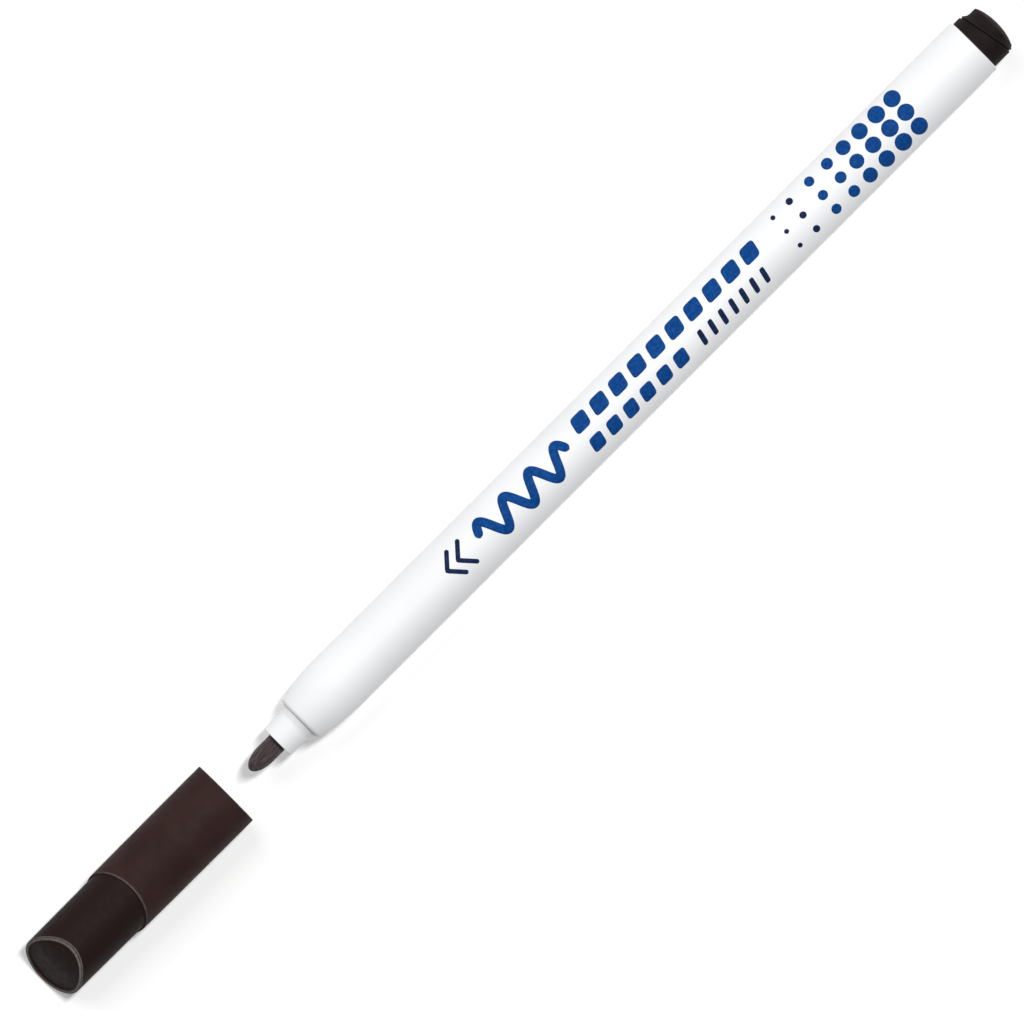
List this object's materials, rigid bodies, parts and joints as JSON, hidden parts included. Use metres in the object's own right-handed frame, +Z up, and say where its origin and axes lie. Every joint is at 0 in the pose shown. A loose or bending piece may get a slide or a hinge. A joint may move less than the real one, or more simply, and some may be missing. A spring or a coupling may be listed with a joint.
{
  "type": "whiteboard marker",
  "caption": "Slim bullet-tip dry-wipe marker, white tube barrel with black rear plug, its black stepped cap pulled off and lying in line with the nib.",
  "frame": {"origin": "under the middle of the whole object, cap included, on the surface that it lies on", "axes": "+X from the cap past the nib to the rear plug, +Z up, +Y to the left when looking along +X"},
  "size_m": [0.178, 0.01, 0.01],
  "materials": {
    "barrel_plastic": "smooth white moulded plastic, slightly glossy, with a printed blue pattern",
    "cap_plastic": "satin warm black moulded plastic",
    "seal_plastic": "soft satin dark moulded plastic",
    "nib_fibre": "bonded fibre soaked with dark ink",
    "reservoir_fibre": "fibre core soaked with dark ink",
    "reservoir_film": "thin pale plastic film"
  },
  "bodies": {
    "pen": {"barrel": "barrel_plastic", "nib_holder": "barrel_plastic", "nib": "nib_fibre", "ink_reservoir": "reservoir_fibre", "reservoir_wrap": "reservoir_film", "rear_plug": "cap_plastic"},
    "cap": {"cap_shell": "cap_plastic", "cap_inner_seal": "seal_plastic"}
  },
  "joints": [
    {"name": "cap_slide", "type": "slide", "parent": "pen", "child": "cap", "axis": [1, 0, 0], "range_m": [0, 0.0315]}
  ]
}
